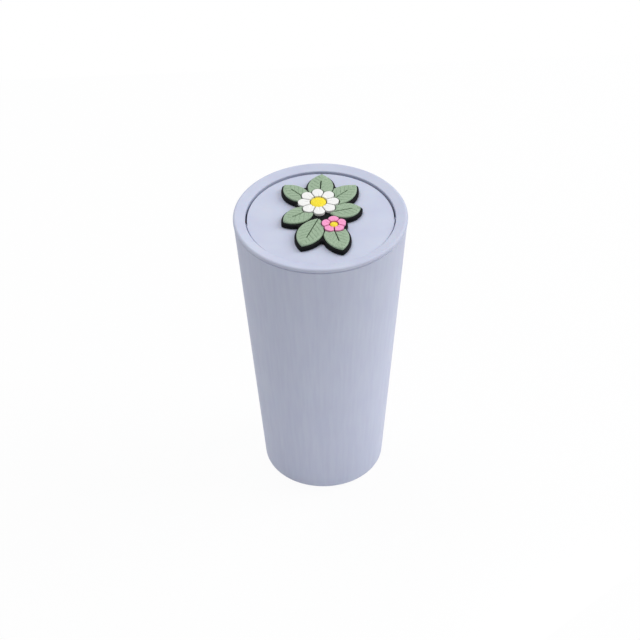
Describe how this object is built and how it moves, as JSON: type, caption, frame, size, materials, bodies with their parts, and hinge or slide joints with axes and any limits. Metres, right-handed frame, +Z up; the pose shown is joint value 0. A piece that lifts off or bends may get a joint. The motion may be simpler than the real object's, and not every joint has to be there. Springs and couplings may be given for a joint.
{
  "type": "car trash can",
  "caption": "Small tapered car trash can with a press-fit lid ring and a round spring-return flap that swings on a diameter; a flower badge is glued on the flap.",
  "frame": {"origin": "centre of the bucket's foot, on the surface that it stands on", "axes": "+Z up along the bucket's axis; X along the flap's hinge axis, with the return spring at +X; +Y towards the back half of the flap, which is pushed down to open it"},
  "size_m": [0.085, 0.085, 0.1572],
  "materials": {
    "bucket_polypropylene": "fine moulded texture, lavender grey",
    "lid_polypropylene": "fine moulded texture, pale lavender",
    "spring_steel": "drawn stainless wire",
    "badge_black": "soft moulded, satin black",
    "badge_adhesive": "clear adhesive film",
    "badge_green": "soft moulded, satin sage green",
    "badge_white": "soft moulded, satin white",
    "badge_pink": "soft moulded, satin pink",
    "badge_yellow": "soft moulded, satin yellow"
  },
  "bodies": {
    "bin": {"bin_body": "bucket_polypropylene"},
    "lid": {"lid_ring": "lid_polypropylene", "return_spring": "spring_steel"},
    "flap": {"flap_disc": "lid_polypropylene", "badge_base": "badge_black", "badge_blossom_centre": "badge_yellow", "badge_blossom_petal_1": "badge_pink", "badge_blossom_petal_2": "badge_pink", "badge_blossom_petal_3": "badge_pink", "badge_blossom_petal_4": "badge_pink", "badge_blossom_petal_5": "badge_pink", "badge_daisy_centre": "badge_yellow", "badge_daisy_petal_1": "badge_white", "badge_daisy_petal_2": "badge_white", "badge_daisy_petal_3": "badge_white", "badge_daisy_petal_4": "badge_white", "badge_daisy_petal_5": "badge_white", "badge_daisy_petal_6": "badge_white", "badge_daisy_petal_7": "badge_white", "badge_daisy_petal_8": "badge_white", "badge_glue": "badge_adhesive", "badge_leaf_1": "badge_green", "badge_leaf_2": "badge_green", "badge_leaf_3": "badge_green", "badge_leaf_4": "badge_green", "badge_leaf_5": "badge_green", "badge_leaf_6": "badge_green", "badge_leaf_7": "badge_green"}
  },
  "joints": [
    {"name": "lid_lift", "type": "slide", "parent": "bin", "child": "lid", "axis": [0, 0, 1], "range_m": [0, 0.06]},
    {"name": "flap_swing", "type": "hinge", "parent": "lid", "child": "flap", "pos_m": [0, 0, 0.1495], "axis": [-1, 0, 0], "range_deg": [0, 80], "stiffness_Nm_per_rad": 0.012, "springref_deg": -40.11, "deforming": ["return_spring"]}
  ]
}
